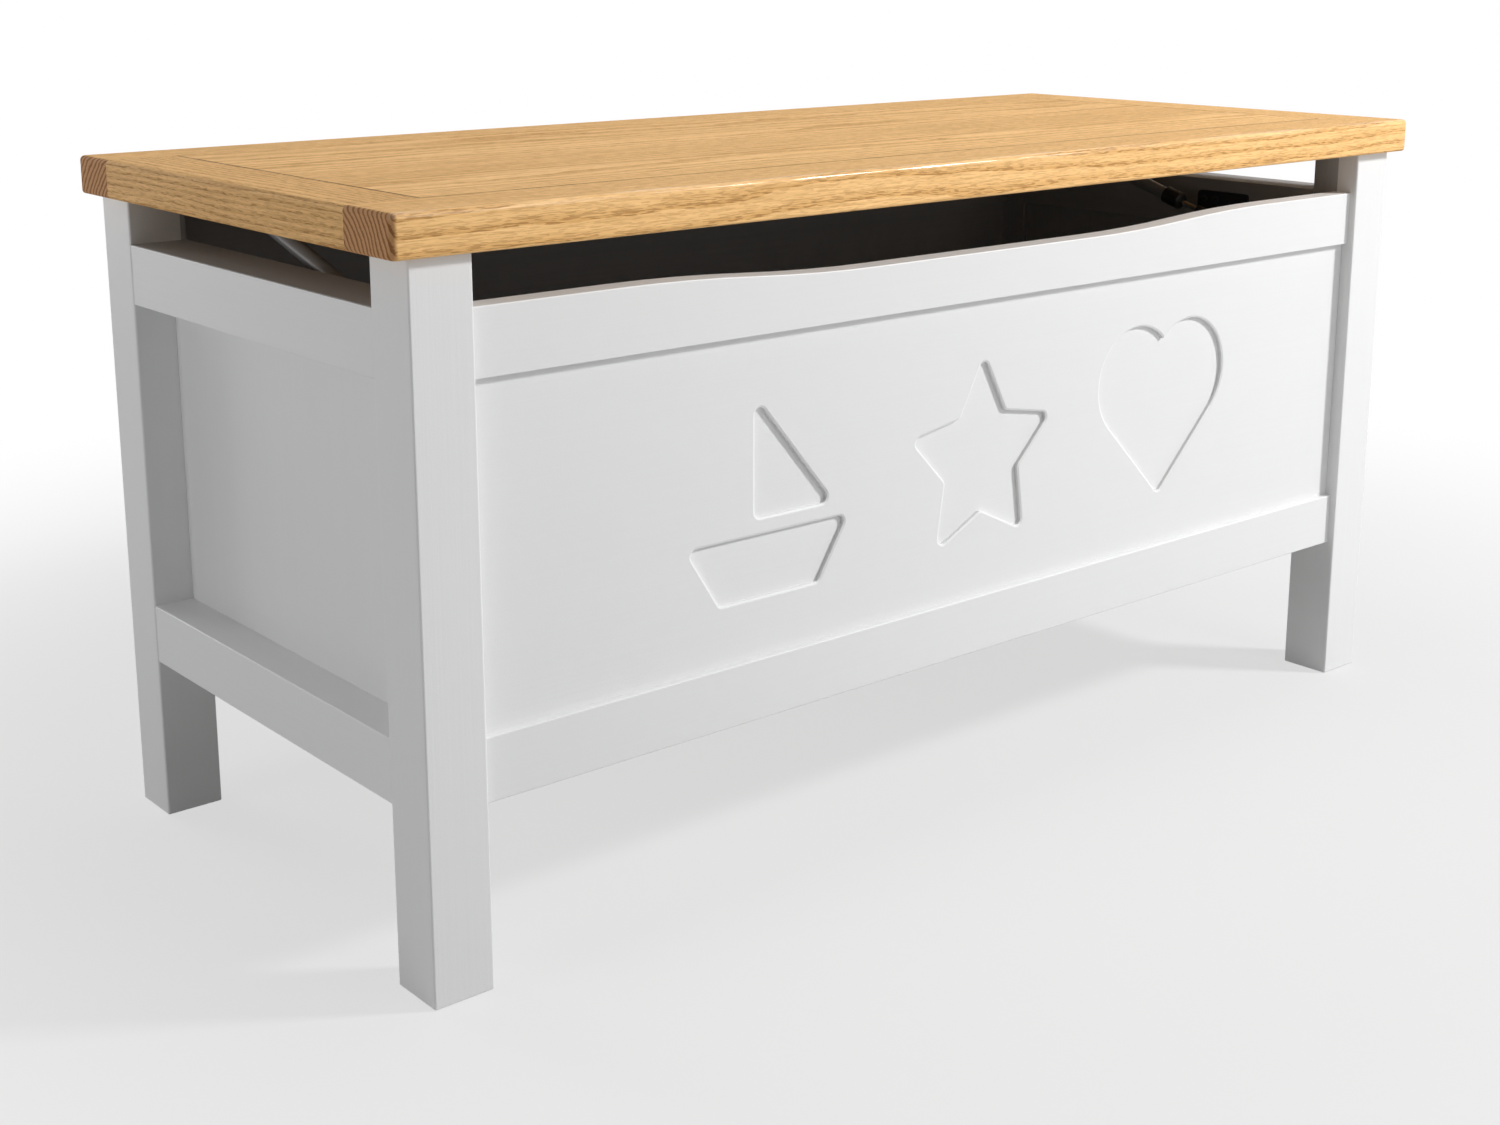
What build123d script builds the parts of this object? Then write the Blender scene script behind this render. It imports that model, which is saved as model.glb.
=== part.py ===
from build123d import *
import os
from math import atan2, cos, degrees, hypot, pi, sin

# Painted wooden toy box with an oak lid on rear butt hinges, held open by two gas struts.
# Millimetres, +Z up, front towards -Y, origin on the floor under the middle of the overall box.

# Legs
leg_size = 45.0
leg_height = 485.0
leg_ease = 1.5
carcass_length = 1012.0
carcass_depth = 440.0

# Rails between the legs, the upper ones below the lid by a finger gap
rail_height = 45.0
rail_gap = 35.0
lower_rail_bottom = 126.5
rail_ease = 1.0
side_rail_recess = 0.5
front_rail_recess = 6.0
front_rail_thickness = 18.0
rear_rail_recess = 1.0
rear_rail_thickness = 22.0

# Scooped top edge of the front rail
scoop_depth = 8.5
scoop_floor_half = 115.0
scoop_sweep = 230.0

# Tenons and panel grooves
tenon_length = 18.0
tenon_thickness = 8.0
tenon_shoulder = 8.0
mortise_play = 1.0
groove_depth = 8.0
panel_play = 0.5
wood_fit = 0.1

# Panels
panel_thickness = 9.0
front_panel_recess = 11.5
side_panel_recess = 31.5
rear_panel_recess = 8.0

# Routed shapes on the front panel
motif_depth = 3.5
motif_pitch = 215.0
motif_height = 146.0
motif_corner = 5.0
motif_ease_width = 1.6
motif_ease_depth = 0.7
star_points = 5
star_waist = 0.52
boat_deck = 150.0
boat_keel = 92.0
boat_hull = 46.0
boat_gap = 12.0
boat_mast_offset = 14.0
boat_sail = 74.0

# Floor of the box
cleat_size = 18.0
base_thickness = 9.0
base_height = 150.0
base_play = 0.5

# Oak lid
lid_thickness = 28.0
lid_side_overhang = 15.0
lid_front_overhang = 9.0
lid_rear_overhang = 3.0
lid_front_rail_width = 56.0
lid_rear_rail_width = 50.0
lid_end_width = 53.0
lid_panel_gap = 0.8
lid_panel_chamfer = 0.8
lid_tongue_length = 8.0
lid_tongue_thickness = 8.0
lid_tongue_stop = 14.0
lid_corner_radius = 4.5
lid_top_radius = 3.5
lid_bottom_radius = 2.5

# Butt hinges
hinge_spacing = 600.0
hinge_length = 66.0
hinge_knuckles = 5
hinge_knuckle_gap = 0.3
hinge_barrel_radius = 4.0
hinge_pin_radius = 2.0
hinge_pin_head = 1.2
hinge_leaf_width = 24.0
hinge_leaf_thickness = 1.9
hinge_leaf_play = 0.1
hinge_knuckle_clearance = 0.4
hinge_barrel_standoff = 4.5
hinge_screw_pitch = 21.0
hinge_screw_inset = 13.0
running_fit = 0.05

# Gas struts
strut_inset = 67.5
strut_lid_pivot_reach = 121.5
strut_lid_pivot_drop = 11.0
strut_side_pivot_reach = 136.0
strut_side_pivot_drop = 33.0
tube_radius = 6.0
tube_bore_radius = 4.8
tube_end_wall = 6.0
tube_lip = 0.8
gland_radius = 8.0
gland_length = 20.0
gland_cap = 4.0
gland_guide = 8.0
gland_ease = 1.5
rod_radius = 2.5
rod_exposed = 20.0
rod_socket = 8.0
piston_length = 5.0
piston_play = 1.0
eye_radius = 7.0
eye_thickness = 6.0
eye_neck_radius = 2.6
eye_pin_radius = 3.0
eye_shank_radius = 4.5
lid_eye_length = 14.0
rod_eye_length = 20.0
pin_head_radius = 5.0
pin_head_height = 2.0
pin_head_gap = 0.3
rivet_tail = 1.5
open_pivot_gap = 0.3

# Strut brackets
lid_bracket_thickness = 2.0
lid_bracket_width = 36.0
lid_bracket_flange = 20.0
lid_bracket_ear = 9.0
lid_bracket_gap = 0.5
lid_bracket_screw_pitch = 22.0
side_plate_thickness = 2.5
side_plate_width = 57.0
side_plate_height = 32.0
side_plate_drop = 11.0
side_plate_front = 22.0
side_plate_corner = 4.0
side_stud_radius = 5.0
side_screw_inset = 8.0
side_screw_pitch = 13.0
side_screw_drop = 15.0

# Wood screws
screw_radius = 1.75
screw_length = 11.0
screw_head_radius = 3.4
screw_head_height = 1.4
screw_fit = 0.05

sides = (("left", -1), ("right", 1))
ends = (("front", -1), ("rear", 1))
from_base = (Align.CENTER, Align.CENTER, Align.MIN)

# Overall depth, from the lid's front edge to the back of the hinge barrels
rear_reach = lid_rear_overhang + hinge_barrel_standoff + hinge_barrel_radius
overall_depth = lid_front_overhang + carcass_depth + rear_reach

# Reference faces of the carcass
leg_outer_x = carcass_length / 2
leg_inner_x = leg_outer_x - leg_size
front_y = lid_front_overhang - overall_depth / 2
rear_y = front_y + carcass_depth
upper_rail_top = leg_height - rail_gap
upper_rail_bottom = upper_rail_top - rail_height
lower_rail_top = lower_rail_bottom + rail_height

front_rail_y = (front_y + front_rail_recess, front_y + front_rail_recess + front_rail_thickness)
rear_rail_y = (rear_y - rear_rail_recess - rear_rail_thickness, rear_y - rear_rail_recess)
side_rail_x = (leg_inner_x, leg_outer_x - side_rail_recess)
side_rail_y = (front_y + leg_size, rear_y - leg_size)
front_panel_y = (front_y + front_panel_recess, front_y + front_panel_recess + panel_thickness)
rear_panel_y = (rear_y - rear_panel_recess - panel_thickness, rear_y - rear_panel_recess)
side_panel_x = (leg_outer_x - side_panel_recess - panel_thickness, leg_outer_x - side_panel_recess)
panel_z = (lower_rail_top - groove_depth, upper_rail_bottom + groove_depth)

# Tenon limits, clear of the panel grooves
upper_tenon_z = (upper_rail_bottom + groove_depth + tenon_shoulder, upper_rail_top - tenon_shoulder)
rear_tenon_z = (upper_rail_bottom + groove_depth + tenon_shoulder, leg_height - tenon_shoulder)
lower_tenon_z = (lower_rail_bottom + tenon_shoulder, lower_rail_top - groove_depth - tenon_shoulder)


def centred(low_high, width):
    """Limits of a width centred between two other limits."""
    middle = sum(low_high) / 2
    return middle - width / 2, middle + width / 2


def grown(low_high, amount):
    """Limits widened by the same amount at both ends."""
    return min(low_high) - amount, max(low_high) + amount


def mirrored(low_high, sign):
    """Limits on the right-hand side, or their image on the left."""
    return tuple(sorted((sign * low_high[0], sign * low_high[1])))


def block(x, y, z, mode=Mode.ADD):
    """A block between two limits along each axis."""
    with Locations(((x[0] + x[1]) / 2, (y[0] + y[1]) / 2, (z[0] + z[1]) / 2)):
        Box(abs(x[1] - x[0]), abs(y[1] - y[0]), abs(z[1] - z[0]), mode=mode)


def bar(start, axis, length, radius, mode=Mode.ADD):
    """A round bar of a length that begins at a start point and runs along an axis."""
    with Locations(Plane(origin=start, z_dir=axis).location):
        Cylinder(radius, length, align=from_base, mode=mode)


def write(piece, label):
    """Names a finished piece and writes its STEP file."""
    piece.part.label = label
    export_step(piece.part, f"parts/{label}.step")


os.makedirs("parts", exist_ok=True)

# Hinge line, strut pivots and screw places
hinge_y = rear_y + lid_rear_overhang + hinge_barrel_standoff
hinge_z = leg_height
hinge_centres = (-hinge_spacing / 2, hinge_spacing / 2)
leaf_edge_y = hinge_y - hinge_barrel_radius - hinge_knuckle_clearance
leaf_y = (leaf_edge_y - hinge_leaf_width, leaf_edge_y)
leaf_recess = hinge_leaf_thickness + hinge_leaf_play
hinge_screw_y = leaf_y[0] + hinge_screw_inset
hinge_screw_x = [
    centre + step * hinge_screw_pitch for centre in hinge_centres for step in (-1, 0, 1)
]

strut_x = leg_outer_x - strut_inset
lid_pivot_y = hinge_y - strut_lid_pivot_reach
lid_pivot_z = leg_height - strut_lid_pivot_drop
side_pivot_y = front_y + strut_side_pivot_reach
side_pivot_z = upper_rail_top - strut_side_pivot_drop
strut_run = lid_pivot_y - side_pivot_y
strut_rise = lid_pivot_z - side_pivot_z
strut_closed = hypot(strut_run, strut_rise)
strut_slope = atan2(strut_rise, strut_run)
tube_length = strut_closed - lid_eye_length - gland_cap - rod_exposed - rod_eye_length

ear_inner_x = strut_x + eye_thickness / 2 + lid_bracket_gap
ear_x = (ear_inner_x, ear_inner_x + lid_bracket_thickness)
flange_x = (ear_x[0], ear_x[0] + lid_bracket_flange)
lid_screw_x = sum(flange_x) / 2 + lid_bracket_thickness / 2
lid_screw_y = [lid_pivot_y + step * lid_bracket_screw_pitch / 2 for step in (-1, 1)]

side_plate_y = (side_pivot_y - side_plate_front, side_pivot_y - side_plate_front + side_plate_width)
side_plate_top = upper_rail_top - side_plate_drop
side_plate_z = (side_plate_top - side_plate_height, side_plate_top)
side_plate_x = (leg_inner_x - side_plate_thickness, leg_inner_x)
side_screw_y = side_plate_y[1] - side_screw_inset
side_screw_z = side_plate_top - side_screw_inset
side_screws = [
    (side_screw_y - across * side_screw_pitch, side_screw_z - down * side_screw_drop)
    for across in (0, 1)
    for down in (0, 1)
]

# Four legs, mortised for the rails and grooved for the panels
for side, sx in sides:
    for end, sy in ends:
        leg_y = (front_y, front_y + leg_size) if end == "front" else (rear_y - leg_size, rear_y)
        long_rail_y = front_rail_y if end == "front" else rear_rail_y
        long_panel_y = front_panel_y if end == "front" else rear_panel_y
        long_tenon_z = upper_tenon_z if end == "front" else rear_tenon_z
        inner_y = leg_y[1] if end == "front" else leg_y[0]
        mortise_x = mirrored((leg_inner_x, leg_inner_x + tenon_length + mortise_play), sx)
        groove_x = mirrored((leg_inner_x, leg_inner_x + groove_depth), sx)
        mortise_y = (inner_y, inner_y + sy * (tenon_length + mortise_play))
        groove_y = (inner_y, inner_y + sy * groove_depth)
        with BuildPart() as leg:
            block(mirrored((leg_inner_x, leg_outer_x), sx), leg_y, (0, leg_height))
            fillet(leg.edges().filter_by(Axis.Z), leg_ease)
            chamfer(leg.faces().sort_by(Axis.Z)[0].edges(), leg_ease / 2)
            for tenon_z in (long_tenon_z, lower_tenon_z):
                cheeks = grown(centred(long_rail_y, tenon_thickness), wood_fit)
                block(mortise_x, cheeks, grown(tenon_z, wood_fit), Mode.SUBTRACT)
            for tenon_z in (upper_tenon_z, lower_tenon_z):
                cheeks = grown(centred(mirrored(side_rail_x, sx), tenon_thickness), wood_fit)
                block(cheeks, mortise_y, grown(tenon_z, wood_fit), Mode.SUBTRACT)
            block(groove_x, grown(long_panel_y, wood_fit), panel_z, Mode.SUBTRACT)
            block(grown(mirrored(side_panel_x, sx), wood_fit), groove_y, panel_z, Mode.SUBTRACT)
        write(leg, f"leg_{end}_{side}")


def panel_groove(x, y, upper):
    """Cuts the groove for a panel's edge in the lower face of an upper rail or the top of a lower one."""
    z = (upper_rail_bottom, panel_z[1]) if upper else (panel_z[0], lower_rail_top)
    block(x, y, z, Mode.SUBTRACT)


# Front top rail, its top edge swept down in two reversed arcs to a long low middle
rail_half = leg_inner_x
scoop_start = scoop_floor_half + scoop_sweep
scoop_floor_z = upper_rail_top - scoop_depth
with BuildPart() as front_top_rail:
    with BuildSketch(Plane.XZ.offset(-front_rail_y[1])) as rail_face:
        with BuildLine() as outline:
            Polyline(
                (-scoop_start, upper_rail_top),
                (-rail_half, upper_rail_top),
                (-rail_half, upper_rail_bottom),
                (rail_half, upper_rail_bottom),
                (rail_half, upper_rail_top),
                (scoop_start, upper_rail_top),
            )
            for sx in (-1, 1):
                shoulder = (sx * scoop_start, upper_rail_top)
                middle_x = sx * (scoop_floor_half + scoop_sweep / 2)
                middle = (middle_x, upper_rail_top - scoop_depth / 2)
                floor_end = (sx * scoop_floor_half, scoop_floor_z)
                TangentArc(shoulder, middle, tangent=(-sx, 0))
                TangentArc(floor_end, middle, tangent=(sx, 0))
            Line((-scoop_floor_half, scoop_floor_z), (scoop_floor_half, scoop_floor_z))
        make_face()
    extrude(amount=front_rail_thickness)
    front_edges = front_top_rail.faces().sort_by(Axis.Y)[0].edges()
    fillet(front_edges.filter_by(lambda edge: edge.center().Z > scoop_floor_z - rail_ease), rail_ease)
    panel_groove((-rail_half, rail_half), grown(front_panel_y, wood_fit), upper=True)
    for sx in (-1, 1):
        tenon_x = mirrored((rail_half, rail_half + tenon_length), sx)
        block(tenon_x, centred(front_rail_y, tenon_thickness), upper_tenon_z)
write(front_top_rail, "front_top_rail")

# Straight rails along the length: front bottom, rear top and rear bottom
long_rails = (
    ("front_bottom_rail", front_rail_y, (lower_rail_bottom, lower_rail_top), lower_tenon_z, front_panel_y),
    ("rear_bottom_rail", rear_rail_y, (lower_rail_bottom, lower_rail_top), lower_tenon_z, rear_panel_y),
    ("rear_top_rail", rear_rail_y, (upper_rail_bottom, leg_height), rear_tenon_z, rear_panel_y),
)
for label, rail_y, rail_z, tenon_z, panel_y in long_rails:
    upper = label == "rear_top_rail"
    with BuildPart() as long_rail:
        block((-rail_half, rail_half), rail_y, rail_z)
        outer_face = long_rail.faces().sort_by(Axis.Y)[0 if "front" in label else -1]
        fillet(outer_face.edges().filter_by(Axis.X), rail_ease)
        panel_groove((-rail_half, rail_half), grown(panel_y, wood_fit), upper)
        for sx in (-1, 1):
            tenon_x = mirrored((rail_half, rail_half + tenon_length), sx)
            block(tenon_x, centred(rail_y, tenon_thickness), tenon_z)
        if upper:
            for centre in hinge_centres:
                leaf_x = (centre - hinge_length / 2 - wood_fit, centre + hinge_length / 2 + wood_fit)
                seat_z = (leg_height - leaf_recess, leg_height)
                block(leaf_x, (leaf_y[0] - wood_fit, rail_y[1]), seat_z, Mode.SUBTRACT)
            for x in hinge_screw_x:
                top = (x, hinge_screw_y, leg_height)
                bar(top, (0, 0, -1), leaf_recess + screw_length, screw_radius + screw_fit, Mode.SUBTRACT)
    write(long_rail, label)

# Square side rails, flush with the legs
for side, sx in sides:
    for level, rail_z, tenon_z in (
        ("top", (upper_rail_bottom, upper_rail_top), upper_tenon_z),
        ("bottom", (lower_rail_bottom, lower_rail_top), lower_tenon_z),
    ):
        with BuildPart() as side_rail:
            block(mirrored(side_rail_x, sx), side_rail_y, rail_z)
            fillet(side_rail.edges().filter_by(Axis.Y), rail_ease)
            panel_groove(grown(mirrored(side_panel_x, sx), wood_fit), side_rail_y, level == "top")
            tenon_y = grown(side_rail_y, tenon_length)
            for tenon in ((tenon_y[0], side_rail_y[0]), (side_rail_y[1], tenon_y[1])):
                block(centred(mirrored(side_rail_x, sx), tenon_thickness), tenon, tenon_z)
            if level == "top":
                for screw_y, screw_z in side_screws:
                    start = (sx * leg_inner_x, screw_y, screw_z)
                    bar(start, (sx, 0, 0), screw_length, screw_radius + screw_fit, Mode.SUBTRACT)
        write(side_rail, f"{side}_{level}_rail")

# Front panel with a routed boat, star and heart
motif_middle_z = (lower_rail_top + upper_rail_bottom) / 2
motif_bottom_z = motif_middle_z - motif_height / 2
motif_top_z = motif_middle_z + motif_height / 2
panel_half = leg_inner_x + groove_depth - panel_play
motif_plane = Plane.XZ.offset(-front_panel_y[0])
star_radius = motif_height / (1 + cos(pi / star_points))
star_centre_z = motif_top_z - star_radius
star_corners = [
    (reach * star_radius * sin(turn), star_centre_z + reach * star_radius * cos(turn))
    for point in range(star_points)
    for reach, turn in (
        (1, 2 * pi * point / star_points),
        (star_waist, 2 * pi * (point + 0.5) / star_points),
    )
]
deck_z = motif_bottom_z + boat_hull
mast_x = -motif_pitch - boat_mast_offset
heart_square = motif_height / (0.5 + 3 * sin(pi / 4) / 2)
heart_middle_z = motif_bottom_z + heart_square * sin(pi / 4)
heart_lobe = heart_square * sin(pi / 4) / 2
with BuildPart() as front_panel:
    block((-panel_half, panel_half), front_panel_y, (panel_z[0], panel_z[1] - panel_play))
    with BuildSketch(motif_plane) as star:
        with BuildLine():
            Polyline(*star_corners, close=True)
        make_face()
        fillet(star.vertices(), motif_corner)
    with BuildSketch(motif_plane) as hull:
        with BuildLine():
            Polyline(
                (-motif_pitch - boat_deck / 2, deck_z),
                (-motif_pitch + boat_deck / 2, deck_z),
                (-motif_pitch + boat_keel / 2, motif_bottom_z),
                (-motif_pitch - boat_keel / 2, motif_bottom_z),
                close=True,
            )
        make_face()
        fillet(hull.vertices(), motif_corner)
    with BuildSketch(motif_plane) as sail:
        with BuildLine():
            Polyline(
                (mast_x, deck_z + boat_gap),
                (mast_x + boat_sail, deck_z + boat_gap),
                (mast_x, motif_top_z),
                close=True,
            )
        make_face()
        fillet(sail.vertices(), motif_corner)
    with BuildSketch(motif_plane) as heart:
        with Locations((motif_pitch, heart_middle_z)):
            Rectangle(heart_square, heart_square, rotation=45)
        with Locations(
            (motif_pitch - heart_lobe, heart_middle_z + heart_lobe),
            (motif_pitch + heart_lobe, heart_middle_z + heart_lobe),
        ):
            Circle(heart_square / 2)
        fillet(heart.vertices().sort_by(Axis.Y)[0], motif_corner)
    extrude(amount=-motif_depth, mode=Mode.SUBTRACT)
    show_face = front_panel.faces().sort_by(Axis.Y)[0]
    outline = [edge for wire in show_face.inner_wires() for edge in wire.edges()]
    chamfer(outline, motif_ease_width, motif_ease_depth, reference=show_face)
write(front_panel, "front_panel")

# Plain rear panel and side panels
with BuildPart() as rear_panel:
    block((-panel_half, panel_half), rear_panel_y, (panel_z[0], panel_z[1] - panel_play))
write(rear_panel, "rear_panel")
for side, sx in sides:
    with BuildPart() as side_panel:
        panel_run = grown(side_rail_y, groove_depth - panel_play)
        block(mirrored(side_panel_x, sx), panel_run, (panel_z[0], panel_z[1] - panel_play))
    write(side_panel, f"{side}_panel")

# Base panel on cleats along the front and rear bottom rails
cleat_z = (base_height - cleat_size, base_height)
cleats = (
    ("front_cleat", (front_rail_y[1], front_rail_y[1] + cleat_size)),
    ("rear_cleat", (rear_rail_y[0] - cleat_size, rear_rail_y[0])),
)
for label, cleat_y in cleats:
    with BuildPart() as cleat:
        block((-rail_half + base_play, rail_half - base_play), cleat_y, cleat_z)
        chamfer(cleat.edges().filter_by(Axis.X).group_by(Axis.Z)[0], rail_ease)
    write(cleat, label)
with BuildPart() as base_panel:
    block(
        (-rail_half + base_play, rail_half - base_play),
        (front_rail_y[1] + base_play, rear_rail_y[0] - base_play),
        (base_height, base_height + base_thickness),
    )
write(base_panel, "base_panel")

# Lid blank with eased edges, from which the five boards are taken
lid_half = leg_outer_x + lid_side_overhang
lid_y = (front_y - lid_front_overhang, rear_y + lid_rear_overhang)
lid_z = (leg_height, leg_height + lid_thickness)
lid_front_joint = lid_y[0] + lid_front_rail_width
lid_rear_joint = lid_y[1] - lid_rear_rail_width
lid_end_joint = lid_half - lid_end_width
tongue_z = centred(lid_z, lid_tongue_thickness)
tongue_groove_z = grown(tongue_z, wood_fit)
groove_reach = lid_tongue_length + panel_play
with BuildPart() as lid_blank:
    block((-lid_half, lid_half), lid_y, lid_z)
    fillet(lid_blank.edges().filter_by(Axis.Z), lid_corner_radius)
    fillet(lid_blank.faces().sort_by(Axis.Z)[-1].edges(), lid_top_radius)
    fillet(lid_blank.faces().sort_by(Axis.Z)[0].edges(), lid_bottom_radius)

long_groove_x = (-lid_half + lid_tongue_stop, lid_half - lid_tongue_stop)
with BuildPart() as lid_front_rail:
    add(lid_blank.part)
    block((-lid_half, lid_half), (lid_y[0], lid_front_joint), lid_z, Mode.INTERSECT)
    block(long_groove_x, (lid_front_joint - groove_reach, lid_front_joint), tongue_groove_z, Mode.SUBTRACT)
write(lid_front_rail, "lid_front_rail")

with BuildPart() as lid_rear_rail:
    add(lid_blank.part)
    block((-lid_half, lid_half), (lid_rear_joint, lid_y[1]), lid_z, Mode.INTERSECT)
    block(long_groove_x, (lid_rear_joint, lid_rear_joint + groove_reach), tongue_groove_z, Mode.SUBTRACT)
    for centre in hinge_centres:
        leaf_x = (centre - hinge_length / 2 - wood_fit, centre + hinge_length / 2 + wood_fit)
        seat_z = (lid_z[0], lid_z[0] + leaf_recess)
        block(leaf_x, (leaf_y[0] - wood_fit, lid_y[1]), seat_z, Mode.SUBTRACT)
    for x in hinge_screw_x:
        start = (x, hinge_screw_y, lid_z[0])
        bar(start, (0, 0, 1), leaf_recess + screw_length, screw_radius + screw_fit, Mode.SUBTRACT)
write(lid_rear_rail, "lid_rear_rail")

for side, sx in sides:
    with BuildPart() as lid_end:
        add(lid_blank.part)
        end_x = mirrored((lid_end_joint, lid_half), sx)
        block(end_x, (lid_front_joint, lid_rear_joint), lid_z, Mode.INTERSECT)
        tongue_limits = (lid_end_joint + groove_reach, lid_half - lid_tongue_stop)
        tongue_x = mirrored(grown(tongue_limits, -wood_fit), sx)
        block(tongue_x, (lid_front_joint - lid_tongue_length, lid_front_joint), tongue_z)
        block(tongue_x, (lid_rear_joint, lid_rear_joint + lid_tongue_length), tongue_z)
        end_groove_x = mirrored((lid_end_joint, lid_end_joint + groove_reach), sx)
        block(end_groove_x, (lid_front_joint, lid_rear_joint), tongue_groove_z, Mode.SUBTRACT)
    write(lid_end, f"lid_{side}_end")

with BuildPart() as lid_centre_panel:
    centre_x = (-lid_end_joint + lid_panel_gap, lid_end_joint - lid_panel_gap)
    centre_y = (lid_front_joint + lid_panel_gap, lid_rear_joint - lid_panel_gap)
    block(centre_x, centre_y, lid_z)
    chamfer(lid_centre_panel.faces().sort_by(Axis.Z)[-1].edges(), lid_panel_chamfer)
    tongue_reach = lid_tongue_length + lid_panel_gap
    block(grown(centre_x, tongue_reach), grown(centre_y, tongue_reach), tongue_z)
    for sx in (-1, 1):
        for screw_y in lid_screw_y:
            start = (sx * lid_screw_x, screw_y, lid_z[0])
            bar(start, (0, 0, 1), screw_length, screw_radius + screw_fit, Mode.SUBTRACT)
write(lid_centre_panel, "lid_centre_panel")

# Butt hinges: interleaved knuckles on a headed pin, leaves let into the rail and the lid
knuckle_pitch = hinge_length / hinge_knuckles
for (side, sx), centre in zip(sides, hinge_centres):
    for leaf, sz, first in (("rail", -1, 0), ("lid", 1, 1)):
        leaf_z = (hinge_z + sz * hinge_leaf_play, hinge_z + sz * leaf_recess)
        with BuildPart() as hinge_leaf:
            block((centre - hinge_length / 2, centre + hinge_length / 2), leaf_y, leaf_z)
            for knuckle in range(first, hinge_knuckles, 2):
                start = centre - hinge_length / 2 + knuckle * knuckle_pitch + hinge_knuckle_gap / 2
                length = knuckle_pitch - hinge_knuckle_gap
                block((start, start + length), (leaf_y[1], hinge_y), leaf_z)
                bar((start, hinge_y, hinge_z), (1, 0, 0), length, hinge_barrel_radius)
            bore_start = (centre - hinge_length, hinge_y, hinge_z)
            bar(bore_start, (1, 0, 0), 2 * hinge_length, hinge_pin_radius + running_fit, Mode.SUBTRACT)
            for step in (-1, 0, 1):
                start = (centre + step * hinge_screw_pitch, hinge_screw_y, hinge_z)
                sink = screw_head_height + hinge_leaf_play
                bar(start, (0, 0, sz), 2 * leaf_recess, screw_radius + screw_fit, Mode.SUBTRACT)
                bar(start, (0, 0, sz), sink, screw_head_radius + screw_fit, Mode.SUBTRACT)
        write(hinge_leaf, f"hinge_{side}_{leaf}_leaf")
    with BuildPart() as hinge_pin:
        pin_start = (centre - hinge_length / 2, hinge_y, hinge_z)
        bar(pin_start, (1, 0, 0), hinge_length, hinge_pin_radius)
        for outward, end_x in ((-1, centre - hinge_length / 2), (1, centre + hinge_length / 2)):
            head_radius = hinge_barrel_radius - hinge_knuckle_gap
            bar((end_x, hinge_y, hinge_z), (outward, 0, 0), hinge_pin_head, head_radius)
    write(hinge_pin, f"hinge_{side}_pin")

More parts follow.
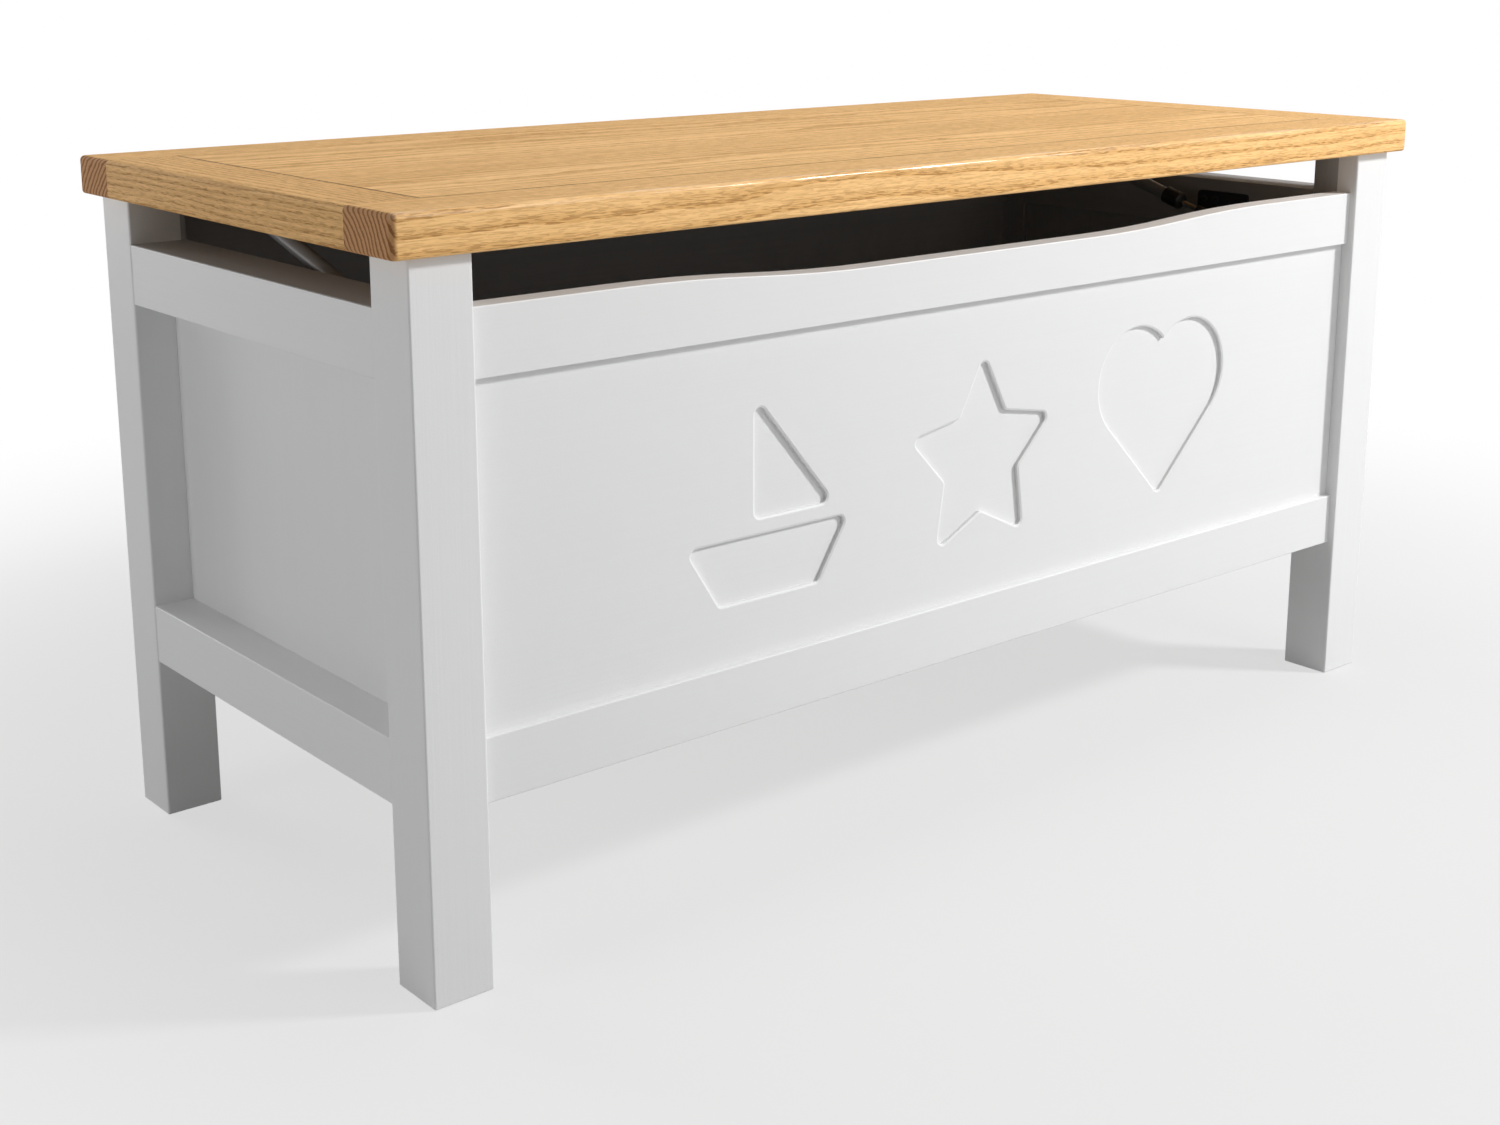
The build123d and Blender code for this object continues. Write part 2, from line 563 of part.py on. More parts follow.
# Gas struts, each drawn along its own axis from the lid pivot down to the pivot on the side rail
for side, sx in sides:
    strut = Plane(
        origin=(sx * strut_x, lid_pivot_y, lid_pivot_z),
        x_dir=(1, 0, 0),
        z_dir=(0, -cos(strut_slope), -sin(strut_slope)),
    )
    tube_end = lid_eye_length + tube_length
    gland_end = tube_end + gland_cap
    pivot_turn = (0, 90, 0)

    with BuildPart(strut) as strut_tube:
        with Locations((0, 0, lid_eye_length)):
            Cylinder(tube_radius, tube_length, align=from_base)
        chamfer(strut_tube.edges().filter_by(GeomType.CIRCLE), tube_lip)
        with Locations((0, 0, lid_eye_length + tube_end_wall)):
            Cylinder(tube_bore_radius, tube_length, align=from_base, mode=Mode.SUBTRACT)
    write(strut_tube, f"strut_{side}_tube")

    with BuildPart(strut) as strut_gland:
        with Locations((0, 0, gland_end - gland_length)):
            Cylinder(gland_radius, gland_length, align=from_base)
        chamfer(strut_gland.edges().filter_by(GeomType.CIRCLE), gland_ease)
        with Locations((0, 0, tube_end - gland_length)):
            Cylinder(tube_radius + running_fit, gland_length, align=from_base, mode=Mode.SUBTRACT)
        with Locations((0, 0, tube_end - gland_guide)):
            Cylinder(tube_bore_radius - running_fit, gland_guide, align=from_base)
        with Locations((0, 0, tube_end - gland_guide)):
            Cylinder(rod_radius + running_fit, 2 * gland_length, align=from_base, mode=Mode.SUBTRACT)
    write(strut_gland, f"strut_{side}_gland")

    with BuildPart(strut) as strut_lid_eye:
        with Locations(Location((0, 0, 0), pivot_turn)):
            Cylinder(eye_radius, eye_thickness)
        Cylinder(eye_neck_radius, lid_eye_length, align=from_base)
        with Locations(Location((0, 0, 0), pivot_turn)):
            Cylinder(eye_pin_radius + running_fit, 2 * eye_radius, mode=Mode.SUBTRACT)
    write(strut_lid_eye, f"strut_{side}_lid_eye")

    piston_start = lid_eye_length + tube_end_wall + piston_play
    rod_start = piston_start + piston_length
    socket_start = strut_closed - rod_eye_length
    with BuildPart(strut) as strut_piston:
        with Locations((0, 0, piston_start)):
            Cylinder(tube_bore_radius - running_fit, piston_length, align=from_base)
    write(strut_piston, f"strut_{side}_piston")

    with BuildPart(strut) as strut_rod:
        with Locations((0, 0, rod_start)):
            Cylinder(rod_radius, socket_start + rod_socket - rod_start, align=from_base)
    write(strut_rod, f"strut_{side}_rod")

    with BuildPart(strut) as strut_rod_eye:
        with Locations(Location((0, 0, strut_closed), pivot_turn)):
            Cylinder(eye_radius, eye_thickness)
        with Locations((0, 0, socket_start)):
            Cylinder(eye_shank_radius, rod_eye_length - eye_radius, align=from_base)
        with Locations((0, 0, socket_start)):
            Cylinder(eye_neck_radius, rod_eye_length, align=from_base)
        with Locations((0, 0, socket_start)):
            Cylinder(rod_radius + running_fit, rod_socket, align=from_base, mode=Mode.SUBTRACT)
        with Locations(Location((0, 0, strut_closed), pivot_turn)):
            Cylinder(eye_pin_radius + running_fit, 2 * eye_radius, mode=Mode.SUBTRACT)
    write(strut_rod_eye, f"strut_{side}_rod_eye")

    # Rivet in the rod eye, its tail just short of the stud on the side plate
    head_x = strut_x - eye_thickness / 2 - pin_head_gap
    tail_x = strut_x + eye_thickness / 2 + rivet_tail
    with BuildPart() as strut_rivet:
        bar((sx * head_x, side_pivot_y, side_pivot_z), (sx, 0, 0), tail_x - head_x, eye_pin_radius)
        bar((sx * head_x, side_pivot_y, side_pivot_z), (-sx, 0, 0), pin_head_height, pin_head_radius)
    write(strut_rivet, f"strut_{side}_rivet")

    # Pivot pin, headed inside the lid eye and fast in the lid bracket's ear
    with BuildPart() as strut_lid_pin:
        bar((sx * head_x, lid_pivot_y, lid_pivot_z), (sx, 0, 0), ear_x[1] - head_x, eye_pin_radius)
        bar((sx * head_x, lid_pivot_y, lid_pivot_z), (-sx, 0, 0), pin_head_height, pin_head_radius)
    write(strut_lid_pin, f"strut_{side}_lid_pin")

    # Folded bracket under the lid: a screwed flange and a round-ended ear
    with BuildPart() as strut_lid_bracket:
        block(
            mirrored(flange_x, sx),
            centred((lid_pivot_y, lid_pivot_y), lid_bracket_width),
            (leg_height - lid_bracket_thickness, leg_height),
        )
        outer_corners = strut_lid_bracket.edges().filter_by(Axis.Z).sort_by(Axis.X)[::sx][-2:]
        fillet(outer_corners, side_plate_corner)
        block(
            mirrored(ear_x, sx),
            centred((lid_pivot_y, lid_pivot_y), 2 * lid_bracket_ear),
            (lid_pivot_z, leg_height),
        )
        ear_start = (sx * ear_x[0], lid_pivot_y, lid_pivot_z)
        bar(ear_start, (sx, 0, 0), lid_bracket_thickness, lid_bracket_ear)
        bar(ear_start, (sx, 0, 0), lid_bracket_thickness, eye_pin_radius + screw_fit, Mode.SUBTRACT)
        for screw_y in lid_screw_y:
            start = (sx * lid_screw_x, screw_y, leg_height)
            bar(start, (0, 0, -1), lid_bracket_thickness, screw_radius + screw_fit, Mode.SUBTRACT)
    write(strut_lid_bracket, f"strut_{side}_lid_bracket")

    # Plate on the side rail with the stud that faces the rod eye
    with BuildPart() as strut_side_plate:
        block(mirrored(side_plate_x, sx), side_plate_y, side_plate_z)
        fillet(strut_side_plate.edges().filter_by(Axis.X), side_plate_corner)
        stud_start = (sx * side_plate_x[0], side_pivot_y, side_pivot_z)
        bar(stud_start, (-sx, 0, 0), side_plate_x[0] - tail_x - open_pivot_gap, side_stud_radius)
        for screw_y, screw_z in side_screws:
            start = (sx * leg_inner_x, screw_y, screw_z)
            bar(start, (-sx, 0, 0), side_plate_thickness, screw_radius + screw_fit, Mode.SUBTRACT)
    write(strut_side_plate, f"strut_{side}_side_plate")


def wood_screw(seat, inward):
    """A pan-head screw whose head sits on a seat and whose shank runs inward."""
    outward = tuple(-step for step in inward)
    bar(seat, inward, screw_length, screw_radius)
    bar(seat, outward, screw_head_height, screw_head_radius)


# Screws, grouped by what they hold and by the body that they move with
with BuildPart() as hinge_rail_screws:
    for x in hinge_screw_x:
        wood_screw((x, hinge_screw_y, hinge_z - screw_head_height - hinge_leaf_play), (0, 0, -1))
write(hinge_rail_screws, "hinge_rail_screws")

with BuildPart() as hinge_lid_screws:
    for x in hinge_screw_x:
        wood_screw((x, hinge_screw_y, hinge_z + screw_head_height + hinge_leaf_play), (0, 0, 1))
write(hinge_lid_screws, "hinge_lid_screws")

with BuildPart() as strut_side_screws:
    for sx in (-1, 1):
        for screw_y, screw_z in side_screws:
            wood_screw((sx * side_plate_x[0], screw_y, screw_z), (sx, 0, 0))
write(strut_side_screws, "strut_side_screws")

with BuildPart() as strut_lid_screws:
    for sx in (-1, 1):
        for screw_y in lid_screw_y:
            wood_screw((sx * lid_screw_x, screw_y, leg_height - lid_bracket_thickness), (0, 0, 1))
write(strut_lid_screws, "strut_lid_screws")
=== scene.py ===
import bpy
import math
from mathutils import Matrix, Vector


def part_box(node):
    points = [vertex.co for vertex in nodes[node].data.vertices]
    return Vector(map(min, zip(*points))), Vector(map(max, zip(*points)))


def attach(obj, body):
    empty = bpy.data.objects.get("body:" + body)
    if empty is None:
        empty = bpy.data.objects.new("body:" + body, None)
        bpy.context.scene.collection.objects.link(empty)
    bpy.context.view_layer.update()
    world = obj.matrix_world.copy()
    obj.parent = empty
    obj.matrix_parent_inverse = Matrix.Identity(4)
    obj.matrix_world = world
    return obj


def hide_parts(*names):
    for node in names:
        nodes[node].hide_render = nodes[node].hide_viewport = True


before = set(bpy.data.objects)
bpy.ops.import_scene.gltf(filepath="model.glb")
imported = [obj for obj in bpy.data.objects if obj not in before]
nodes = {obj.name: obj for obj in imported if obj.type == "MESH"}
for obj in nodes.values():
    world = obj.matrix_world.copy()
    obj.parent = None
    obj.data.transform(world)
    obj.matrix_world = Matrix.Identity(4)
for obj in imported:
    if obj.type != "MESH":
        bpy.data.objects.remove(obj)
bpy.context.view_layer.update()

# Metres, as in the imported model
LID_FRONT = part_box("lid_front_rail")[0].y
LID_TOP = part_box("lid_front_rail")[1].z
LID_HALF_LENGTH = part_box("lid_front_rail")[1].x
PANEL_TONGUE = 0.0088
END_GRAIN_START = 0.0045
END_GRAIN_FULL = 0.0012
PAINT_SKIN = 0.0006

SCREW_SHANK = 0.00175
SCREW_LENGTH = 0.011
SCREW_HEAD = 0.0034
SCREW_HEAD_HEIGHT = 0.0014
HINGE_SCREW_ROWS = [side * 0.300 + step * 0.021 for side in (-1, 1) for step in (-1, 0, 1)]
HINGE_SCREW_Y = 0.21085
HINGE_RAIL_SEAT = 0.4835
HINGE_LID_SEAT = 0.4865
PLATE_SEAT = 0.4585
PLATE_SCREWS = [(y, z) for y in (-0.05825, -0.07125) for z in (0.431, 0.416)]
BRACKET_SCREW_X = 0.453
BRACKET_SCREW_Y = (0.09375, 0.11575)
BRACKET_SEAT = 0.483

PLAIN_WHITE = (1.0, 1.0, 1.0, 1.0)
SKY_STRENGTH = 0.18
FLOOR_GREY = (0.56, 0.56, 0.56, 1.0)
FLOOR_RADIUS = 9.0
FLOOR_DROP = 0.0004
FLOOR_VEIL = 0.62
FLOOR_FADE_START = 0.55
FLOOR_FADE_END = 1.5

CAMERA_PLACE = (-1.1123, -1.2532, 0.6609)
CAMERA_YAW = 40.103
CAMERA_PITCH = -12.823
CAMERA_LENS = 48.740
CAMERA_RISE = -0.10


class Measure:
    """A number that varies over a surface, so that shader maths reads as arithmetic."""

    def __init__(self, wiring, socket):
        self.wiring = wiring
        self.socket = socket

    def __add__(self, other):
        return self.wiring.maths("ADD", self, other)

    __radd__ = __add__

    def __sub__(self, other):
        return self.wiring.maths("SUBTRACT", self, other)

    def __rsub__(self, other):
        return self.wiring.maths("SUBTRACT", other, self)

    def __mul__(self, other):
        return self.wiring.maths("MULTIPLY", self, other)

    __rmul__ = __mul__

    def __truediv__(self, other):
        return self.wiring.maths("DIVIDE", self, other)

    def __rtruediv__(self, other):
        return self.wiring.maths("DIVIDE", other, self)

    def __pow__(self, other):
        return self.wiring.maths("POWER", self, other)

    def __abs__(self):
        return self.wiring.maths("ABSOLUTE", self)


class Wiring:
    """A tree of nodes, emptied, for a material or for the world."""

    def __init__(self, owner):
        owner.use_nodes = True
        self.tree = owner.node_tree
        self.tree.nodes.clear()

    def node(self, kind, settings=None, sockets=None):
        """Adds a node, sets it up, then gives its sockets their values or links."""
        made = self.tree.nodes.new(kind)
        for name, value in (settings or {}).items():
            setattr(made, name, value)
        for key, value in (sockets or {}).items():
            source = value.socket if isinstance(value, Measure) else value
            if isinstance(source, bpy.types.NodeSocket):
                self.tree.links.new(source, made.inputs[key])
            else:
                made.inputs[key].default_value = source
        return made

    def maths(self, operation, *values):
        made = self.node("ShaderNodeMath", {"operation": operation}, dict(enumerate(values)))
        return Measure(self, made.outputs[0])

    def seen_directly(self):
        """1 for rays from the camera, or by way of gloss or glass, and 0 for the light on the object."""
        rays = self.node("ShaderNodeLightPath").outputs
        names = ("Is Camera Ray", "Is Glossy Ray", "Is Transmission Ray")
        camera, gloss, glass = (Measure(self, rays[name]) for name in names)
        return self.maths("MINIMUM", camera + gloss + glass, 1.0)


class Finish(Wiring):
    """A material, with the few kinds of node that its pattern is made of."""

    def __init__(self, name):
        self.material = bpy.data.materials.new(name)
        super().__init__(self.material)
        self.place = self.node("ShaderNodeTexCoord").outputs["Object"]
        spread = self.node("ShaderNodeSeparateXYZ", {}, {0: self.place})
        self.x, self.y, self.z = (Measure(self, socket) for socket in spread.outputs)

    def rise(self, value, low, high):
        """Goes smoothly from 0 at the low value to 1 at the high one."""
        limits = {"Value": value, "From Min": low, "From Max": high}
        made = self.node("ShaderNodeMapRange", {"interpolation_type": "SMOOTHSTEP"}, limits)
        return Measure(self, made.outputs[0])

    def noise(self, waves, detail=2.0, roughness=0.5, shift=(0.0, 0.0, 0.0)):
        """Noise with so many waves to the metre along X, Y and Z."""
        moved = self.node(
            "ShaderNodeMapping", {}, {"Vector": self.place, "Scale": waves, "Location": shift}
        )
        cloud = {"Vector": moved.outputs[0], "Scale": 1.0, "Detail": detail, "Roughness": roughness}
        return Measure(self, self.node("ShaderNodeTexNoise", {}, cloud).outputs[0])

    def mix(self, share, first, second):
        """Colour that goes from the first to the second."""
        first, second = (
            (*tint, 1.0) if isinstance(tint, tuple) else tint for tint in (first, second)
        )
        made = self.node("ShaderNodeMix", {"data_type": "RGBA"}, {0: share, 6: first, 7: second})
        return made.outputs[2]

    def shaded(self, colour, amount):
        """Colour made lighter or darker by an amount near 1, and warmer where it is darker."""
        warmth = self.node("ShaderNodeCombineXYZ", {}, {0: amount, 1: amount**1.25, 2: amount**1.7})
        made = self.node(
            "ShaderNodeMix",
            {"data_type": "RGBA", "blend_type": "MULTIPLY"},
            {0: 1.0, 6: colour, 7: warmth.outputs[0]},
        )
        return made.outputs[2]

    def bump(self, height, depth):
        made = self.node("ShaderNodeBump", {}, {"Height": height, "Distance": depth, "Strength": 1.0})
        return made.outputs[0]

    def surface(self, **sockets):
        """Ends the material in a Principled surface with these sockets."""
        named = {key.replace("_", " "): value for key, value in sockets.items()}
        shader = self.node("ShaderNodeBsdfPrincipled", {}, named)
        self.node("ShaderNodeOutputMaterial", {}, {0: shader.outputs[0]})
        return self.material


OAK_ROUGHNESS = 0.58
OAK_SHEEN = 0.12
OAK_RELIEF = 0.00022
OAK_PALE = (0.850, 0.508, 0.204)
OAK_HONEY = (0.640, 0.335, 0.100)
OAK_PORE = (0.330, 0.145, 0.040)
OAK_END = (0.600, 0.315, 0.138)
OAK_END_DARK = (0.310, 0.140, 0.052)
OAK_SEAM = (0.110, 0.045, 0.014)


def oak_board(name, grain, pith, ring, seed, tone=1.0, staves=0.0, arris=0.0):
    """Oiled oak with rings round a pith line along the grain, so that all faces of a board agree."""
    oak = Finish(name)
    along_x = grain == "X"
    along, across = (oak.x, oak.y) if along_x else (oak.y, oak.x)

    def stretched(lengthwise, crosswise, detail=2.0, roughness=0.5):
        waves = (lengthwise, crosswise, crosswise) if along_x else (crosswise, lengthwise, crosswise)
        return oak.noise(waves, detail, roughness, (seed, seed * 0.7, seed * 0.3))

    bend = (stretched(1.3, 7.0, 2.0) - 0.5) * 0.024
    waver = (stretched(7.0, 50.0, 3.0, 0.6) - 0.5) * 0.0055
    depth = oak.z - pith[1]
    sideways = across - pith[0]
    if staves:
        stave = oak.maths("FLOOR", across / staves)
        turn = oak.maths("FRACT", oak.maths("SINE", stave * 12.9898 + seed) * 43758.5)
        sideways = across - stave * staves - (turn - 0.2) * 0.11
        depth = depth + turn * 0.03
        tone = tone * (0.955 + 0.09 * turn)
    radius = (sideways * sideways + depth * depth) ** 0.5 + bend + waver
    year = oak.maths("FRACT", radius / ring)
    early = (1 - oak.rise(year, 0.02, 0.62)) * oak.rise(year, 0.0, 0.03)
    dashes = oak.rise(stretched(100.0, 1150.0, 1.0), 0.51, 0.61)
    flecks = oak.rise(stretched(40.0, 860.0, 2.0, 0.6), 0.54, 0.68)
    pores = oak.maths("MAXIMUM", dashes * (0.40 + 0.60 * early), flecks * (0.30 + 0.60 * early))
    streaks = stretched(10.0, 560.0, 5.0, 0.74)
    clouds = stretched(2.2, 14.0, 2.0)

    colour = oak.mix(early * 0.62, OAK_PALE, OAK_HONEY)
    colour = oak.mix(pores * 0.62, colour, OAK_PORE)
    lightness = (0.57 + 0.92 * streaks + 0.18 * clouds) * tone
    colour = oak.shaded(colour, lightness)
    gloss = OAK_ROUGHNESS + pores * 0.14 + 0.08 * streaks
    if along_x:
        start, full = LID_HALF_LENGTH - END_GRAIN_START, LID_HALF_LENGTH - END_GRAIN_FULL
        end = oak.rise(abs(along), start, full)
        rings = oak.mix(oak.rise(early + pores * 0.4, 0.10, 0.60), OAK_END, OAK_END_DARK)
        colour = oak.mix(end, colour, rings)
        gloss = gloss + end * 0.10
    if staves:
        low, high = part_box("lid_centre_panel")
        edge = oak.maths(
            "MINIMUM",
            (high.x - low.x) / 2 - PANEL_TONGUE - abs(oak.x - (high.x + low.x) / 2),
            (high.y - low.y) / 2 - PANEL_TONGUE - abs(oak.y - (high.y + low.y) / 2),
        )
        seam = (1 - oak.rise(edge, 0.0006, 0.0016)) * (0.35 + 0.9 * stretched(5.0, 5.0, 2.0))
        colour = oak.mix(oak.maths("MINIMUM", seam, 1.0), colour, OAK_SEAM)
    relief = streaks * 0.35 - pores - early * 0.30
    worn = 0.0
    if arris:
        rim = oak.maths("MAXIMUM", oak.y - LID_FRONT, LID_TOP - oak.z)
        patches = oak.rise(stretched(14.0, 420.0, 3.0), 0.36, 0.60)
        worn = (1 - oak.rise(rim, 0.0028, 0.0042)) * patches * arris
    return oak.surface(
        Base_Color=colour,
        Roughness=gloss,
        Normal=oak.bump(relief, OAK_RELIEF),
        Specular_IOR_Level=OAK_SHEEN,
        Coat_Weight=worn,
        Coat_Roughness=0.16,
    )


PAINT_RELIEF = 0.00010
PAINT_WHITE = (0.815, 0.816, 0.818)
PAINT_SHADE = (0.775, 0.776, 0.778)
# Dark grey for the faces inside the box: partly a grey finish, partly painted shade for the shade inside
# it
INSIDE_GREY_AND_SHADE = (0.352, 0.352, 0.358)
INSIDE_GREY_AND_SHADE_LIGHT = (0.420, 0.420, 0.426)


def satin_paint(name, grain, seed, inside):
    """Brushed satin white; the faces within any one of the inside limits get a dark grey, partly a grey
    finish and partly painted shade for the shade inside the box.
    """
    paint = Finish(name)

    def brushed(lengthwise, crosswise, detail=2.0):
        waves = [crosswise, crosswise, crosswise]
        waves["XYZ".index(grain)] = lengthwise
        return paint.noise(tuple(waves), detail, 0.55, (seed, seed * 0.6, seed * 0.4))

    strokes = brushed(5.0, 420.0, 3.0)
    laps = brushed(1.5, 16.0)
    peel = paint.noise((850.0, 850.0, 850.0), 1.0)
    colour = paint.mix(strokes * 0.40 + laps * 0.35, PAINT_WHITE, PAINT_SHADE)
    gloss = 0.36 + 0.14 * strokes + 0.06 * laps
    relief = strokes * 0.7 + peel * 0.4
    grey_and_shade_mask = 0.0
    for limits in inside:
        within = 1.0
        for axis, limit, sign in limits:
            measure = {"X": paint.x, "Y": paint.y, "Z": paint.z}[axis]
            within = paint.maths("GREATER_THAN", (measure - limit) * sign, 0.0) * within
        grey_and_shade_mask = paint.maths("MAXIMUM", within, grey_and_shade_mask)
    # Inside faces take the dark grey, which is partly painted shade, and are also rougher
    grey_and_shade = paint.mix(strokes, INSIDE_GREY_AND_SHADE, INSIDE_GREY_AND_SHADE_LIGHT)
    colour = paint.mix(grey_and_shade_mask, colour, grey_and_shade)
    gloss = gloss + grey_and_shade_mask * 0.25
    return paint.surface(Base_Color=colour, Roughness=gloss, Normal=paint.bump(relief, PAINT_RELIEF))


def primed_board():
    """Base panel and cleats: sanded primer underneath; on top, inside the box, a dark grey that is
    partly a grey finish and partly painted shade.
    """
    board = Finish("primed_board")
    fibres = board.noise((220.0, 220.0, 220.0), 3.0, 0.6)
    blotches = board.noise((9.0, 9.0, 9.0), 2.0)
    primer = board.mix(fibres * 0.6 + blotches * 0.3, (0.60, 0.59, 0.56), (0.46, 0.45, 0.42))
    top = board.maths("GREATER_THAN", board.z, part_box("base_panel")[1].z - PAINT_SKIN)
    # The top face, inside the box, takes the dark grey, which is partly painted shade
    colour = board.mix(top, primer, board.mix(fibres, INSIDE_GREY_AND_SHADE, INSIDE_GREY_AND_SHADE_LIGHT))
    return board.surface(
        Base_Color=colour, Roughness=0.55 + 0.2 * fibres, Normal=board.bump(fibres, 0.00012)
    )


def zinc_plate():
    """Bright zinc on steel, rolled along the hinge with a faint bloom."""
    zinc = Finish("zinc_plate")
    rolled = zinc.noise((30.0, 1400.0, 1400.0), 2.0)
    bloom = zinc.noise((160.0, 160.0, 160.0), 3.0, 0.6)
    colour = zinc.mix(bloom, (0.66, 0.66, 0.64), (0.52, 0.53, 0.52))
    return zinc.surface(
        Base_Color=colour,
        Metallic=1.0,
        Roughness=0.24 + 0.18 * bloom + 0.10 * rolled,
        Normal=zinc.bump(rolled, 0.00003),
    )


def bright_steel():
    """Ground and polished steel, with the fine rings of the grinding."""
    steel = Finish("bright_steel")
    ground = steel.noise((1600.0, 1600.0, 1600.0), 2.0)
    film = steel.noise((60.0, 60.0, 60.0), 2.0)
    colour = steel.mix(film, (0.74, 0.74, 0.75), (0.64, 0.64, 0.65))
    return steel.surface(
        Base_Color=colour,
        Metallic=1.0,
        Roughness=0.12 + 0.12 * ground,
        Normal=steel.bump(ground, 0.00001),
    )


def strut_enamel():
    """Dark stoved enamel on the strut tubes."""
    enamel = Finish("strut_enamel")
    peel = enamel.noise((420.0, 420.0, 420.0), 2.0)
    dust = enamel.noise((55.0, 55.0, 55.0), 3.0, 0.6)
    colour = enamel.mix(dust, (0.300, 0.302, 0.306), (0.360, 0.362, 0.366))
    return enamel.surface(
        Base_Color=colour,
        Metallic=0.25,
        Roughness=0.36 + 0.14 * dust,
        Normal=enamel.bump(peel, 0.00004),
        Coat_Weight=0.35,
    )


def powder_coat():
    """Black powder coat with its fine pebbled skin."""
    coat = Finish("powder_coat")
    pebbles = coat.noise((1500.0, 1500.0, 1500.0), 2.0)
    scuffs = coat.noise((90.0, 90.0, 90.0), 3.0, 0.65)
    colour = coat.mix(scuffs, (0.016, 0.016, 0.018), (0.034, 0.034, 0.036))
    return coat.surface(
        Base_Color=colour, Roughness=0.42 + 0.16 * scuffs, Normal=coat.bump(pebbles, 0.00008)
    )


def moulded_plastic():
    """Black moulded plastic with a spark-eroded texture."""
    plastic = Finish("moulded_plastic")
    texture = plastic.noise((1100.0, 1100.0, 1100.0), 3.0, 0.6)
    handling = plastic.noise((70.0, 70.0, 70.0), 2.0)
    colour = plastic.mix(handling, (0.020, 0.020, 0.021), (0.036, 0.036, 0.037))
    return plastic.surface(
        Base_Color=colour, Roughness=0.36 + 0.14 * texture, Normal=plastic.bump(texture, 0.00006)
    )


def dress(name, material):
    """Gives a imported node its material."""
    skin = nodes[name].data.materials
    skin.clear()
    skin.append(material)


# Oak boards of the lid
dress("lid_front_rail", oak_board("oak_front_rail", "X", (-0.118, 0.446), 0.0044, 2.9, arris=1.0))
dress("lid_rear_rail", oak_board("oak_rear_rail", "X", (0.115, 0.440), 0.0041, 5.3, 0.97))
# The left end board is darker, partly its own tone and partly painted shade for its left face
dress("lid_left_end", oak_board("oak_left_end", "Y", (-0.560, 0.440), 0.0043, 9.1, 0.89))
dress("lid_right_end", oak_board("oak_right_end", "Y", (0.556, 0.446), 0.0046, 13.9, 1.01))
dress("lid_centre_panel", oak_board("oak_centre_panel", "X", (0.0, 0.440), 0.0042, 21.3, 1.0, 0.0865))

# Painted frame and panels, with the direction of the brush and the limits of the dark inside, whose grey
# is partly painted shade
base_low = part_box("base_panel")[0].z
front_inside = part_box("front_panel")[1].y - PAINT_SKIN
rear_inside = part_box("rear_panel")[0].y + PAINT_SKIN
side_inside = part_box("right_panel")[0].x + PAINT_SKIN
for end, y_limit, y_sign in (("front", front_inside, 1.0), ("rear", rear_inside, -1.0)):
    for side, x_sign in (("left", 1.0), ("right", -1.0)):
        leg = f"leg_{end}_{side}"
        leg_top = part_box(leg)[1].z - PAINT_SKIN
        corner = [("X", -x_sign * side_inside, x_sign), ("Y", y_limit, y_sign)]
        corner += [("Z", base_low, 1.0), ("Z", leg_top, -1.0)]
        dress(leg, satin_paint(f"paint_{leg}", "Z", 2.0 + len(leg) + x_sign * 1.5, [corner]))
    for order, form in enumerate(("top_rail", "bottom_rail", "panel")):
        piece = f"{end}_{form}"
        low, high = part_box(piece)
        inner = (high.y if y_sign > 0 else low.y) - y_sign * PAINT_SKIN
        faces = [[("Y", inner, y_sign)]]
        if form == "bottom_rail":
            faces.append([("Y", y_limit, y_sign), ("Z", high.z - PAINT_SKIN, 1.0)])
        dress(piece, satin_paint(f"paint_{piece}", "X", 11.0 + order * 2.3 + y_sign * 3.5, faces))
for side, x_sign in (("left", 1.0), ("right", -1.0)):
    for order, form in enumerate(("top_rail", "bottom_rail", "panel")):
        piece = f"{side}_{form}"
        low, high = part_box(piece)
        inner = (high.x if x_sign > 0 else low.x) - x_sign * PAINT_SKIN
        faces = [[("X", inner, x_sign)]]
        # The top face of a side top rail, under the lid, takes the dark inside grey as painted shade
        if form == "top_rail":
            faces.append([("Z", high.z - PAINT_SKIN, 1.0)])
        if form == "bottom_rail":
            faces.append([("X", -x_sign * side_inside, x_sign), ("Z", high.z - PAINT_SKIN, 1.0)])
        grain = "Z" if form == "panel" else "Y"
        dress(piece, satin_paint(f"paint_{piece}", grain, 31.0 + order * 1.9 + x_sign, faces))

board = primed_board()
zinc = zinc_plate()
steel = bright_steel()
enamel = strut_enamel()
black = powder_coat()
plastic = moulded_plastic()
for piece in ("base_panel", "front_cleat", "rear_cleat"):
    dress(piece, board)
for side in ("left", "right"):
    for form in ("rail_leaf", "lid_leaf", "pin"):
        dress(f"hinge_{side}_{form}", zinc)
    for form, material in (
        ("tube", enamel),
        ("gland", plastic),
        ("lid_eye", zinc),
        ("piston", plastic),
        ("rod", steel),
        ("rod_eye", plastic),
        ("rivet", zinc),
        ("lid_pin", zinc),
        ("lid_bracket", black),
        ("side_plate", black),
    ):
        dress(f"strut_{side}_{form}", material)


def choose(piece, wanted):
    """Selects the faces of a piece in edit mode that pass a test on their centre and normal."""
    bpy.ops.object.mode_set(mode="OBJECT")
    for vertex in piece.data.vertices:
        vertex.select = False
    for edge in piece.data.edges:
        edge.select = False
    for polygon in piece.data.polygons:
        polygon.select = wanted(polygon.center, polygon.normal)
    bpy.ops.object.mode_set(mode="EDIT")


